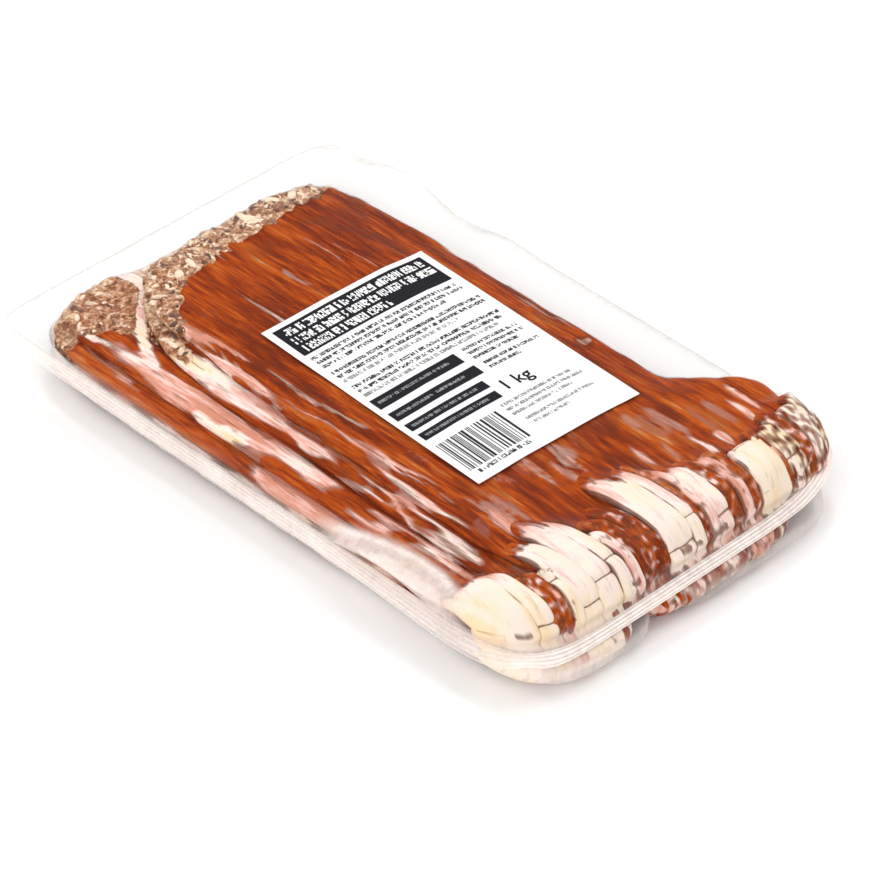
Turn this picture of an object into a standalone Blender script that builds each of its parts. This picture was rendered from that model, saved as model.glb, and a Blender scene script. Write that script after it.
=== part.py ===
"""Clear vacuum pack of smoked streaky bacon, lying flat, with its printed label.

Metres, +Z up.  X runs along the slices towards their thick fat ends, Y runs
across them from the stepped side to the straight side, and z = 0 is the flat
underside.  The origin is the middle of the film's outline, on that underside.
"""
import math

import bmesh
import bpy

MM = 0.001

# Film: two sheets sealed together in a flange half way up the pack.
FILM_LENGTH = 300.0
FILM_WIDTH = 188.0
FILM_SQUARENESS_REAR = 24.0
FILM_SQUARENESS_FRONT = 10.0
FILM_SQUARENESS_FAR = 5.5
SEAL_HEIGHT = 16.0
SEAL_THICKNESS = 0.8
SEAL_DROOP = 4.0
WEB_WAVE = 3.0

# Body: the outline of the bacon where it meets the seal.
REAR_X = -124.0
REAR_STEP = 6.0
REAR_STEP_Y = (-30.0, -44.0)
FRONT_X = 143.0
LEFT_Y = -86.0
RIGHT_Y = 62.0
RIGHT_FLARE = 23.0
RIGHT_FLARE_X = (64.0, 100.0)
BODY_SQUARENESS = 9.0

# Top: height of the bacon above the seal, and how each side rounds over.
CROWN = 15.0
FRONT_RISE = 2.6
NEAR_FALL = 9.0
NEAR_FALL_FRONT = 0.4
REAR_CORNER_FALL = 6.5
FAR_FALL = 3.0
SHOULDER_REAR = 13.0
SHOULDER_FRONT = 20.0
SHOULDER_LEFT = 8.0
SHOULDER_RIGHT = 12.0
SHOULDER_ROUNDNESS = 2.4

# Relief of the slices under the film.
SLICE_PITCH = 11.0
SLICE_RELIEF = 1.4
SLICE_FAN = 0.10
RIND_RELIEF = 0.9
RIND_PITCH = 13.0
FAT_RELIEF = 3.2
# Fat ends, from the stepped side to the straight side: middle and half width.
FAT_ENDS = ((-80.0, 11.0), (-66.0, 7.0), (-49.0, 8.0), (-38.0, 6.0), (-25.0, 7.0),
            (-2.0, 9.0), (16.0, 7.0), (41.0, 9.0), (56.0, 7.0), (72.0, 8.0))

# Pocket: the drawn lower film, with two lobes below the fat ends.
POCKET_STEPS = ((0.0, 0.0), (0.35, 0.6), (0.65, 1.6), (0.85, 3.6), (0.96, 6.0), (1.0, 9.0))
LOBE_REACH = 3.5
LOBE_GAP = 12.0
LOBE_GAP_Y = -30.0
LOBE_GAP_WIDTH = 8.0

# Label: a printed sheet stuck on top of the film.
LABEL_LENGTH = 120.0
LABEL_WIDTH = 80.0
LABEL_CENTRE = (11.8, 1.3)
LABEL_TURN = math.radians(-2.1)
LABEL_THICKNESS = 0.5
LABEL_GAP = 0.45
LABEL_MARGIN = 5.0
LABEL_CELLS = (24, 16)

# Mesh: cells along and across, with narrow ones (in mm) where a side rounds over.
CELLS_ALONG = 54
CELLS_ACROSS = 34
EDGE_STEPS = (0.0, 0.7, 2.0, 4.0, 7.0, 10.5, 15.0)


def ease(start, end, value):
    """Go smoothly from 0 at start to 1 at end."""
    share = min(max((value - start) / (end - start), 0.0), 1.0)
    return share * share * (3.0 - 2.0 * share)


def bump(middle, half_width, value):
    """Give a rounded bump of height 1 and the given half width."""
    return math.exp(-((value - middle) / half_width) ** 2)


def blend(low, high, share):
    """Go from low at share -1 to high at share 1."""
    return low + (high - low) * (share + 1.0) / 2.0


def clear_scene():
    """Remove whatever the file holds."""
    for item in list(bpy.data.objects):
        bpy.data.objects.remove(item, do_unlink=True)


def principled(name, colour, roughness):
    """Make a plain finish of one colour."""
    material = bpy.data.materials.new(name)
    material.use_nodes = True
    shader = material.node_tree.nodes["Principled BSDF"]
    shader.inputs["Base Color"].default_value = (*colour, 1.0)
    shader.inputs["Roughness"].default_value = roughness
    shader.inputs["Metallic"].default_value = 0.0
    material.diffuse_color = (*colour, 1.0)
    return material


def rounded(u, v, squareness):
    """Turn a place in the square -1 to 1 into one with rounded corners."""
    reach = max(abs(u), abs(v))
    if reach == 0.0:
        return 0.0, 0.0
    shrink = reach / (abs(u) ** squareness + abs(v) ** squareness) ** (1.0 / squareness)
    return u * shrink, v * shrink


def spaced(cells, half_length):
    """Place the grid lines from -1 to 1, close together near both ends."""
    edge = [1.0 - step / half_length for step in EDGE_STEPS]
    inner = cells + 1 - 2 * len(EDGE_STEPS)
    middle = [edge[-1] * (2.0 * (i + 1) / (inner + 1) - 1.0) for i in range(inner)]
    return [-place for place in edge] + middle + edge[::-1]


def rear_edge(y):
    """Give the rear of the bacon: the near stack sticks out past the main one."""
    return REAR_X - REAR_STEP * ease(REAR_STEP_Y[0], REAR_STEP_Y[1], y)


def front_edge(y, level):
    """Give the front of the bacon: two lobes form towards the underside (level 1)."""
    lobes = LOBE_REACH - LOBE_GAP * bump(LOBE_GAP_Y, LOBE_GAP_WIDTH, y)
    return FRONT_X + level * lobes


def right_edge(x):
    """Give the straight side, which flares out around the thick fat ends."""
    return RIGHT_Y + RIGHT_FLARE * ease(RIGHT_FLARE_X[0], RIGHT_FLARE_X[1], x)


def body_place(u, v, level=0.0, inset=0.0):
    """Place a grid point within the bacon's outline, drawn in by inset."""
    p, q = rounded(u, v, BODY_SQUARENESS)
    p *= 1.0 - 2.0 * inset / (FRONT_X - REAR_X)
    q *= 1.0 - 2.0 * inset / (RIGHT_Y - LEFT_Y)
    y_guess = blend(LEFT_Y, RIGHT_Y, q)
    x = blend(rear_edge(y_guess), front_edge(y_guess, level), p)
    return x, blend(LEFT_Y, right_edge(x), q)


def film_place(u, v):
    """Place a point of the film's outer edge, which is roundest at the far front corner."""
    front = FILM_SQUARENESS_FAR if v > 0.0 else FILM_SQUARENESS_FRONT
    p, q = rounded(u, v, front if u > 0.0 else FILM_SQUARENESS_REAR)
    return p * FILM_LENGTH / 2.0, q * FILM_WIDTH / 2.0


def seal_height(x, y, outwards):
    """Give the height of the flange, which sags at one corner and waves at the wide web."""
    droop = SEAL_DROOP * ease(40.0, 130.0, x) * ease(-40.0, -85.0, y)
    wave = WEB_WAVE * math.sin((x + 75.0) / 17.0) * ease(20.0, -60.0, x) * ease(50.0, 94.0, y)
    return SEAL_HEIGHT - outwards * (droop + wave)


def under_label(x, y):
    """Give 1 on the ground that the label covers, fading to 0 past its margin."""
    away_x = x - LABEL_CENTRE[0]
    away_y = y - LABEL_CENTRE[1]
    along = abs(away_x * math.cos(LABEL_TURN) + away_y * math.sin(LABEL_TURN))
    across = abs(away_y * math.cos(LABEL_TURN) - away_x * math.sin(LABEL_TURN))
    past = max(along - LABEL_LENGTH / 2.0, across - LABEL_WIDTH / 2.0)
    return ease(3.0 * LABEL_MARGIN, LABEL_MARGIN, past)


def rear_corner(x, y):
    """Give 1 where the upper slices are cut back at the near rear corner, and 0 on them."""
    share = min(max((x + 112.0) / 68.0, 0.0), 1.0)
    boundary = -72.0 + 36.0 * (1.0 - share) ** 2.2
    return ease(8.0, -9.0, y - boundary) * ease(-30.0, -60.0, x)


def crown(x, y):
    """Give the smooth height of the bacon above the seal."""
    rise = FRONT_RISE * ease(60.0, 105.0, x)
    near = NEAR_FALL * ease(-42.0, -86.0, y) * (1.0 - NEAR_FALL_FRONT * ease(80.0, 110.0, x))
    near = max(near, REAR_CORNER_FALL * rear_corner(x, y))
    far = FAR_FALL * ease(20.0, 62.0, y) * ease(95.0, 60.0, x)
    return CROWN + rise - near - far


def relief(x, y):
    """Give the relief of the slices: fanned steps, rind lumps and fat ends."""
    fan = (y - SLICE_FAN * x + 50.0) / SLICE_PITCH
    steps = SLICE_RELIEF * math.sin(2.0 * math.pi * fan) * ease(-38.0, -52.0, y) * ease(100.0, 80.0, x)
    steps *= 1.0 - 0.7 * rear_corner(x, y)
    lumps = math.sin(2.0 * math.pi * x / RIND_PITCH) * math.sin(2.0 * math.pi * y / RIND_PITCH)
    rind = RIND_RELIEF * lumps * ease(-88.0, -104.0, x) * (1.0 - rear_corner(x, y))
    ends = max(bump(middle, half, y) for middle, half in FAT_ENDS)
    fat = FAT_RELIEF * (ends - 0.5) * ease(82.0, 104.0, x)
    return (steps + rind + fat) * (1.0 - under_label(x, y))


def shoulder(distance, width):
    """Give the share of the full height at a distance in from a side."""
    left = 1.0 - min(max(distance, 0.0) / width, 1.0)
    return (1.0 - left ** SHOULDER_ROUNDNESS) ** (1.0 / SHOULDER_ROUNDNESS)


def top_height(x, y, u, v):
    """Give the height of the top film at a grid point of the body."""
    half_x = (FRONT_X - REAR_X) / 2.0
    half_y = (RIGHT_Y - LEFT_Y) / 2.0
    share = shoulder((1.0 - u) * half_x, SHOULDER_FRONT)
    share *= shoulder((1.0 + u) * half_x, SHOULDER_REAR)
    share *= shoulder((1.0 - v) * half_y, SHOULDER_RIGHT)
    share *= shoulder((1.0 + v) * half_y, SHOULDER_LEFT)
    return SEAL_HEIGHT + SEAL_THICKNESS / 2.0 + share * (crown(x, y) + relief(x, y))


def around(columns, rows):
    """List the grid points of the outline once round, as column and row."""
    sides = [(i, 0) for i in range(columns)]
    sides += [(columns, j) for j in range(rows)]
    sides += [(i, rows) for i in range(columns, 0, -1)]
    sides += [(0, j) for j in range(rows, 0, -1)]
    return sides


def add_ring(mesh, loop, places):
    """Join a closed loop of points to a new one at the given places."""
    ring = [mesh.verts.new([value * MM for value in place]) for place in places]
    for i, point in enumerate(ring):
        mesh.faces.new((loop[i - 1], ring[i - 1], point, loop[i]))
    return ring


def finish(mesh, name, material):
    """Turn a bmesh into a smooth object with its finish."""
    bmesh.ops.recalc_face_normals(mesh, faces=mesh.faces)
    data = bpy.data.meshes.new(name)
    mesh.to_mesh(data)
    mesh.free()
    data.materials.append(material)
    data.shade_smooth()
    item = bpy.data.objects.new(name, data)
    bpy.context.collection.objects.link(item)
    return item


def build_pack():
    """Make the sealed pack: a domed top, the flange, and the drawn pocket."""
    mesh = bmesh.new()
    columns = spaced(CELLS_ALONG, (FRONT_X - REAR_X) / 2.0)
    rows = spaced(CELLS_ACROSS, (RIGHT_Y - LEFT_Y) / 2.0)
    bmesh.ops.create_grid(mesh, x_segments=CELLS_ALONG, y_segments=CELLS_ACROSS, size=1.0)
    grid = {}
    for point in mesh.verts:
        i = round((point.co.x + 1.0) / 2.0 * CELLS_ALONG)
        j = round((point.co.y + 1.0) / 2.0 * CELLS_ACROSS)
        x, y = body_place(columns[i], rows[j])
        point.co = (x * MM, y * MM, top_height(x, y, columns[i], rows[j]) * MM)
        grid[i, j] = point
    outline = around(CELLS_ALONG, CELLS_ACROSS)
    squares = [(columns[i], rows[j]) for i, j in outline]
    loop = [grid[place] for place in outline]
    half = SEAL_THICKNESS / 2.0
    foot = [body_place(u, v) for u, v in squares]
    edge = [film_place(u, v) for u, v in squares]
    middle = [((a + c) / 2.0, (b + d) / 2.0) for (a, b), (c, d) in zip(foot, edge)]
    for side in (half, -half):
        flange = ((middle, 0.5), (edge, 1.0)) if side > 0.0 else ((edge, 1.0), (middle, 0.5))
        for ring, outwards in flange:
            places = [(x, y, seal_height(x, y, outwards) + side) for x, y in ring]
            loop = add_ring(mesh, loop, places)
    for level, inset in POCKET_STEPS:
        height = (SEAL_HEIGHT - half) * (1.0 - level)
        ring = [body_place(u, v, level, inset) for u, v in squares]
        loop = add_ring(mesh, loop, [(x, y, height) for x, y in ring])
    mesh.faces.new(loop)
    return finish(mesh, "pack", principled("packed_bacon", (0.52, 0.17, 0.06), 0.3))


def build_label():
    """Make the label, which follows the top of the pack just clear of it."""
    mesh = bmesh.new()
    bmesh.ops.create_grid(mesh, x_segments=LABEL_CELLS[0], y_segments=LABEL_CELLS[1], size=1.0)
    for point in mesh.verts:
        along = point.co.x * LABEL_LENGTH / 2.0
        across = point.co.y * LABEL_WIDTH / 2.0
        x = LABEL_CENTRE[0] + along * math.cos(LABEL_TURN) - across * math.sin(LABEL_TURN)
        y = LABEL_CENTRE[1] + along * math.sin(LABEL_TURN) + across * math.cos(LABEL_TURN)
        height = SEAL_HEIGHT + SEAL_THICKNESS / 2.0 + crown(x, y) + LABEL_GAP
        point.co = (x * MM, y * MM, height * MM)
    label = finish(mesh, "label", principled("label_paper", (0.86, 0.86, 0.86), 0.45))
    wall = label.modifiers.new("Thickness", "SOLIDIFY")
    wall.thickness = LABEL_THICKNESS * MM
    wall.offset = 1.0
    return label


clear_scene()
build_pack()
build_label()
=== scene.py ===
# %% [markdown]
# # A clear vacuum pack of smoked streaky bacon
#
# The real thing is a sealed pouch. Slices of bacon lie on each other in a pocket
# that was drawn into the lower film, an upper film was laid over them, the air was
# pumped out, and both films were welded together in a flange half way up.
# A printed label was stuck on last. A CAD model already says how large the pack is,
# and this lesson builds its looks around that frame.

# %% Load the frame and keep its box
import math
import random

import bpy
import numpy as np
from mathutils import Matrix, Vector, noise
from mathutils.bvhtree import BVHTree


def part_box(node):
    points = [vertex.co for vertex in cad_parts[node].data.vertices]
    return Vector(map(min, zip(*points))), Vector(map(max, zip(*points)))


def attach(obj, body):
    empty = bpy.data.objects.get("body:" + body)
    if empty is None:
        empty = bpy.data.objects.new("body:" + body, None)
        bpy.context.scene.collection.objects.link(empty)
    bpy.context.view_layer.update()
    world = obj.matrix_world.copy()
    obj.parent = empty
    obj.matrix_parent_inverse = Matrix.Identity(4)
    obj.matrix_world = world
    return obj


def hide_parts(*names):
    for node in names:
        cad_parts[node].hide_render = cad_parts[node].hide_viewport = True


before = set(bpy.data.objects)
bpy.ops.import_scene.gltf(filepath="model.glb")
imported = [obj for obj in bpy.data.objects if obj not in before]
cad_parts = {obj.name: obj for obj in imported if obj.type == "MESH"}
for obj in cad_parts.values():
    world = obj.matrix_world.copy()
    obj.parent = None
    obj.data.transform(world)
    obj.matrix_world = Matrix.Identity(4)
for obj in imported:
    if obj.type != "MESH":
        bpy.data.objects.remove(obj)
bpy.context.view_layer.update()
MM = 0.001
pack_low, pack_high = [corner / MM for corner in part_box("pack")]
label_low, label_high = [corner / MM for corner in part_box("label")]
print("pack", [round(side, 1) for side in pack_high - pack_low], "mm")

# %% [markdown]
# ## The camera
#
# The camera stands far away and has a long lens, so parallel edges stay nearly
# parallel. It looks down on a corner of the pack, and the thick fat ends of the
# slices point to the lower right.

# %% Camera
CAMERA_TURN = math.radians(45.78)
CAMERA_RISE = math.radians(38.39)
CAMERA_DISTANCE = 1.80
CAMERA_LENS = 199.4
CAMERA_AIM = Vector((0.0092, -0.0033, 0.0))

back = Vector((math.sin(CAMERA_TURN) * math.cos(CAMERA_RISE),
               -math.cos(CAMERA_TURN) * math.cos(CAMERA_RISE),
               math.sin(CAMERA_RISE)))
bpy.ops.object.camera_add(location=CAMERA_AIM + back * CAMERA_DISTANCE,
                          rotation=(math.pi / 2 - CAMERA_RISE, 0.0, CAMERA_TURN))
camera = bpy.context.object
camera.data.lens = CAMERA_LENS
bpy.context.scene.camera = camera
bpy.context.scene.view_settings.view_transform = "Standard"
print("camera at", [round(value, 3) for value in camera.location])

# %% [markdown]
# ## Light and floor
#
# Clear film only shows by what it mirrors, so it needs large bright lamps. The key
# lamp stands behind and above and draws long highlights along the film's folds, the
# side and front lamps lift the walls, and a small one adds sharp glints. A pale sky
# fills the shadows, as white reflectors do in a studio. The floor is a pale sheet.

# %% Lamps, sky and floor
SKY_COLOUR = (1.0, 0.99, 0.98, 1.0)
SKY_STRENGTH = 0.62
FLOOR_SHADES = ((0.90, 0.895, 0.89, 1.0), (0.95, 0.95, 0.95, 1.0))
# Each lamp: name, place in metres, side in metres, power in watts.
LAMPS = (("key", (0.25, 0.95, 1.25), 0.9, 9.0), ("side", (-1.1, -0.5, 0.9), 0.8, 5.0),
         ("front", (0.55, -1.25, 0.75), 0.8, 9.0), ("glint", (-0.75, 0.8, 1.5), 0.32, 6.0))


def add_lamp(name, place, side, power):
    """Add a square lamp that points at the pack."""
    bpy.ops.object.light_add(type="AREA", location=place)
    lamp = bpy.context.object
    lamp.name = name
    lamp.data.size = side
    lamp.data.energy = power
    lamp.rotation_euler = (-Vector(place)).to_track_quat("-Z", "Y").to_euler()


def node(tree, kind, **inputs):
    """Add a shader node and set its sockets by name, with _ for a space."""
    made = tree.nodes.new("ShaderNode" + kind)
    for name, value in inputs.items():
        made.inputs[name.replace("_", " ")].default_value = value
    return made


def start_material(name, roughness):
    """Make a material and return it with its node tree and its shader."""
    material = bpy.data.materials.new(name)
    material.use_nodes = True
    tree = material.node_tree
    shader = tree.nodes["Principled BSDF"]
    shader.inputs["Roughness"].default_value = roughness
    return material, tree, shader


for lamp in LAMPS:
    add_lamp(*lamp)
world = bpy.data.worlds.new("studio")
world.use_nodes = True
sky = world.node_tree.nodes["Background"]
sky.inputs["Color"].default_value = SKY_COLOUR
sky.inputs["Strength"].default_value = SKY_STRENGTH
bpy.context.scene.world = world

bpy.ops.object.select_all(action="DESELECT")
bpy.ops.mesh.primitive_plane_add(size=6.0, location=(0.0, 0.0, 0.0))
floor = bpy.context.object
floor.name = "floor"
material, tree, shader = start_material("pale_paper", 0.9)
fibres = node(tree, "TexNoise", Scale=40.0, Detail=4.0)
tint = node(tree, "ValToRGB")
for element, shade in zip(tint.color_ramp.elements, FLOOR_SHADES):
    element.color = shade
tree.links.new(fibres.outputs["Fac"], tint.inputs["Fac"])
tree.links.new(tint.outputs["Color"], shader.inputs["Base Color"])
floor.data.materials.append(material)
print(len(LAMPS), "lamps")

# %% [markdown]
# ## The form of the pack in numbers
#
# All that follows needs to know where the bacon ends and how high it stands, so
# this cell holds the same few sizes as the CAD model, in millimetres. The outline
# is a rectangle with rounded corners: the near stack of slices sticks out at the
# rear, and the straight side flares out around the thick fat ends.

# %% Outline and height of the bacon
REAR_X = -124.0
REAR_STEP = 6.0
REAR_STEP_FROM = (-32.0, -44.0)
FRONT_X = 143.0
LEFT_Y = -86.0
RIGHT_Y = 62.0
RIGHT_FLARE = 23.0
RIGHT_FLARE_FROM = (64.0, 100.0)
SQUARENESS = 9.0
ROUNDNESS = 2.4
SEAL_HEIGHT = 16.0
CROWN = 15.5
FILM_ROOM = 0.9
HALF_LENGTH = (pack_high.x - pack_low.x) / 2.0
HALF_WIDTH = (pack_high.y - pack_low.y) / 2.0


def ease(start, end, value):
    """Go smoothly from 0 at start to 1 at end."""
    share = min(max((value - start) / (end - start), 0.0), 1.0)
    return share * share * (3.0 - 2.0 * share)


def bump(middle, half_width, value):
    """Give a rounded bump of height 1 and the given half width."""
    return math.exp(-((value - middle) / half_width) ** 2)


def blend(low, high, share):
    """Go from low at share -1 to high at share 1."""
    return low + (high - low) * (share + 1.0) / 2.0


def rough(x, y, z, size):
    """Give smooth random relief between about -1 and 1, with lumps of the given size."""
    return noise.noise(Vector((x / size, y / size, z / size)))


def rounded(u, v, squareness):
    """Turn a place in the square -1 to 1 into one with rounded corners."""
    reach = max(abs(u), abs(v))
    if reach == 0.0:
        return 0.0, 0.0
    shrink = reach / (abs(u) ** squareness + abs(v) ** squareness) ** (1.0 / squareness)
    return u * shrink, v * shrink


def rear_step(y):
    """Give how far the near stack of slices sticks out at the rear."""
    return REAR_STEP * ease(*REAR_STEP_FROM, y)


def right_edge(x):
    """Give the straight side of the bacon, which flares out around the fat ends."""
    return RIGHT_Y + RIGHT_FLARE * ease(*RIGHT_FLARE_FROM, x)


def shoulder(distance, width):
    """Give the share of the full height at a distance in from a side."""
    left = 1.0 - min(max(distance, 0.0) / width, 1.0)
    return (1.0 - left ** ROUNDNESS) ** (1.0 / ROUNDNESS)


def inset_at(height, width):
    """Give how far in from its side a slice ends at a height, so that the pack rounds over."""
    if height > SEAL_HEIGHT:
        share = min((height - SEAL_HEIGHT) / CROWN, 0.98)
        return width * (1.0 - (1.0 - share ** ROUNDNESS) ** (1.0 / ROUNDNESS)) + FILM_ROOM
    drop = 1.0 - height / SEAL_HEIGHT
    return FILM_ROOM + 2.2 * drop ** 2 + 4.5 * drop ** 8


print("film outline", round(2 * HALF_LENGTH), "x", round(2 * HALF_WIDTH), "mm")

# %% [markdown]
# ## A helper for slices
#
# A slice of bacon is a sheet with thickness. By hand one would add a grid, pull it
# into the slice's outline, give it a wall with Solidify and round its rims with a
# subdivision surface. The grid's own UV map stays on the slice through all of that,
# so each point still knows where it is along and across its slice.

# %% Sheet helper
def select_only(piece):
    """Leave just this piece selected and active."""
    bpy.ops.object.select_all(action="DESELECT")
    piece.select_set(True)
    bpy.context.view_layer.objects.active = piece


def give_wall(sheet, thickness, side=1.0):
    """Give a sheet a wall: outside it at side 1, about its middle at side 0."""
    wall = sheet.modifiers.new("wall", "SOLIDIFY")
    wall.thickness = thickness * MM
    wall.offset = side
    select_only(sheet)
    bpy.ops.object.modifier_apply(modifier=wall.name)


def add_sheet(name, cells_along, cells_across, place):
    """Add a grid and put each of its points where place(u, v) says, in millimetres."""
    bpy.ops.object.select_all(action="DESELECT")
    bpy.ops.mesh.primitive_grid_add(x_subdivisions=cells_along, y_subdivisions=cells_across,
                                    size=2.0)
    sheet = bpy.context.object
    sheet.name = name
    for point in sheet.data.vertices:
        point.co = [value * MM for value in place(point.co.x, point.co.y)]
    return sheet


def thicken(sheet, thickness):
    """Give a sheet a wall about its middle and round its rims."""
    give_wall(sheet, thickness, 0.0)
    soft = sheet.modifiers.new("round", "SUBSURF")
    soft.levels = soft.render_levels = 1
    bpy.ops.object.modifier_apply(modifier=soft.name)
    bpy.ops.object.shade_smooth()
    return sheet


def read_rows(items, key, width):
    """Read one value with the given width from each item, as the rows of an array."""
    flat = np.empty(len(items) * width)
    items.foreach_get(key, flat)
    return flat.reshape(-1, width)


def points_of(piece):
    """Return the piece's points as an array, in millimetres."""
    return read_rows(piece.data.vertices, "co", 3) / MM


def place_points(piece, points):
    """Put the piece's points at the given places, in millimetres."""
    piece.data.vertices.foreach_set("co", (points * MM).ravel())
    piece.data.update()


def grid_places(piece):
    """Return where each point lies along and across its sheet, from -1 to 1."""
    mesh = piece.data
    corners = np.empty(len(mesh.loops), dtype=np.int32)
    mesh.loops.foreach_get("vertex_index", corners)
    places = np.zeros((len(mesh.vertices), 2))
    places[corners] = read_rows(mesh.uv_layers[0].data, "uv", 2) * 2.0 - 1.0
    return places


def paint(piece, name, values):
    """Store one number for each point, for a material to read."""
    layer = piece.data.attributes.new(name, "FLOAT", "POINT")
    layer.data.foreach_set("value", np.clip(np.asarray(values, dtype=np.float32), 0.0, 1.0))


def join(name, parts):
    """Join several pieces into one."""
    bpy.ops.object.select_all(action="DESELECT")
    for part in parts:
        part.select_set(True)
    bpy.context.view_layer.objects.active = parts[0]
    bpy.ops.object.join()
    whole = bpy.context.object
    whole.name = name
    return whole


print("helpers ready")

# %% [markdown]
# ## The stack of slices
#
# The pack holds eight layers of slices. On the near side each layer ends a little
# further in than the one below, like stairs, so a strip of every slice shows. The
# other sides are nearly upright, and follow the round shoulders of the pack.
# Each layer is its own sheet, a little wavy, and its rims sag onto the one below.
# Only the lowest one curls its rims up, as the pocket's round edge makes it do.

# %% Layers of the stack
LAYERS = 8
PITCH = 3.86
SLICE_THICKNESS = 3.5
UNDERSIDE = 0.7
FAT_END_ROOM = 1.2
DOME = 1.4
NEAR_EDGES = {7: -56.0, 6: -67.5, 5: -78.5}
UPPER_CUT = 50.0
SIDE_INSET = 8.0
END_INSET = 12.0
RIM_SAG = 0.9
LOWEST_RIM_LIFT = 0.8
CELL_SIZES = (5.0, 5.0, 5.0, 5.0, 4.0, 4.0, 4.0, 2.0)


def level(layer):
    """Give the height of the middle of a layer where nothing squeezes it."""
    return UNDERSIDE + (layer + 0.5) * PITCH


def layer_height(layer, x, y):
    """Give the middle height of a layer: a little domed, and squeezed at the far side."""
    squeeze = 3.0 * ease(20.0, 60.0, y) * ease(95.0, 60.0, x)
    squeeze += FAT_END_ROOM * ease(78.0, 108.0, x) * ease(26.0, 10.0, y)
    squeeze -= DOME * max(1.0 - ((y - 1.0) / 46.0) ** 2, 0.0) * ease(84.0, 66.0, x)
    wave = 0.28 * rough(x + 40.0 * layer, y, 0.0, 34.0)
    return UNDERSIDE + (layer + 0.5) * (PITCH - squeeze / LAYERS) + wave


def near_edge(layer, x):
    """Give the near end of a layer, which wanders along the slice."""
    wander = 1.7 * rough(x, 31.0 * layer, 5.0, 38.0) + 0.6 * rough(x, 31.0 * layer, 9.0, 11.0)
    if layer in NEAR_EDGES:
        drift = -5.0 * ease(-90.0, 20.0, x) if layer == 7 else -1.0 * ease(-60.0, 40.0, x)
        return NEAR_EDGES[layer] + drift + wander
    return LEFT_Y + inset_at(level(layer), SIDE_INSET) + 0.35 * wander


def rear_edge(layer, y):
    """Give the rear end of a layer: ragged, and the upper two are cut back at the near corner."""
    ragged = 1.3 * rough(10.0 * layer, y, 2.0, 9.0) + 0.7 * rough(10.0 * layer, y, 7.0, 3.5)
    if layer > 5:
        cut = min(max((-36.0 - y) / 36.0, 0.0), 1.0) ** 1.4
        return REAR_X + 11.5 - 2.0 * (7 - layer) + UPPER_CUT * cut + ragged
    return REAR_X + inset_at(level(layer), END_INSET) - rear_step(y) + 0.6 + ragged


def make_layer(layer):
    """Make one layer of slices. The cells are finer in the layers that show."""
    cell = CELL_SIZES[layer]
    front = FRONT_X - 8.5 - (8.0 if layer > 4 else 0.0)
    far_inset = inset_at(level(layer), END_INSET)

    def place(u, v):
        p, q = rounded(u, v, SQUARENESS)
        x = blend(rear_edge(layer, blend(near_edge(layer, REAR_X), RIGHT_Y, q)), front, p)
        far = right_edge(x) - far_inset + 0.7 * rough(x, 90.0, 13.0 * layer, 15.0)
        y = blend(near_edge(layer, x), far, q)
        edge = max(abs(u), abs(v)) ** 14
        return x, y, layer_height(layer, x, y) - (RIM_SAG if layer else -LOWEST_RIM_LIFT) * edge

    across = max(round((RIGHT_Y - near_edge(layer, 0.0)) / cell), 8)
    sheet = add_sheet("layer", round((front - REAR_X) / cell), across, place)
    return thicken(sheet, SLICE_THICKNESS)


layers = [make_layer(layer) for layer in range(LAYERS)]
print(len(layers), "layers,", sum(len(layer.data.polygons) for layer in layers), "faces")

# %% [markdown]
# ## Muscle fibres and soft dents
#
# Up close a slice is not smooth: fibres run along it, and the vacuum presses soft
# dents into it. Both are pushed into the mesh here along each point's normal, so
# that they are still there when the model leaves Blender.

# %% Relief of the slices
FIBRE_DEPTH = 0.22
DENT_DEPTH = 0.45
SLICE_PITCH = 11.0
SLICE_FAN = 0.10
SLICE_STEP = 1.7


def push_out(piece, depth_at):
    """Move each point along its normal by depth_at(x, y, z), in millimetres."""
    points = points_of(piece)
    normals = read_rows(piece.data.vertices, "normal", 3)
    depths = np.array([depth_at(*point) for point in points])
    place_points(piece, points + normals * depths[:, None])


def step_phase(x, y):
    """Give the place across a slice: 0 at its upper edge, 1 where the next one covers it."""
    bend = 0.28 * rough(x / 3.0, y, 0.0, 17.0)
    return ((y - SLICE_FAN * x + 50.0) / SLICE_PITCH + bend) % 1.0


def slice_steps(x, y, z):
    """Give the steps of the upper slices, which overlap like shingles."""
    phase = step_phase(x, y)
    strength = (0.3 + 0.7 * ease(-34.0, -48.0, y)) * ease(100.0, 84.0, x) * ease(26.0, 28.0, z)
    return SLICE_STEP * strength * (ease(0.0, 0.14, phase) - phase - 0.4)


def slice_relief(x, y, z):
    """Give fibres along the slice, soft dents, and a lumpy rind at the rear."""
    fibres = FIBRE_DEPTH * rough(x / 7.0, y, z, 2.2)
    dents = DENT_DEPTH * rough(x / 2.0, y, z, 9.0)
    rind = ease(-88.0, -106.0, x) * (1.0 * rough(x, y, z, 4.2) + 0.5 * rough(x, y, z, 2.0))
    return fibres + dents + rind


for layer in layers:
    push_out(layer, slice_relief)
push_out(layers[7], slice_steps)
print("relief up to", FIBRE_DEPTH + DENT_DEPTH, "mm")

# %% [markdown]
# ## Where the fat lies
#
# Streaky bacon is lean meat with seams of fat. Each layer gets its seams as soft
# ovals: a middle, a half length, a half width, how fatty it is, and its tint from
# yellow (0) over cream to pink (1). Random relief bends the ovals' rims, so no two
# look alike. Dark ovals are smoked or dried spots. The numbers are stored on the
# points, and the material turns them into colour.

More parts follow.
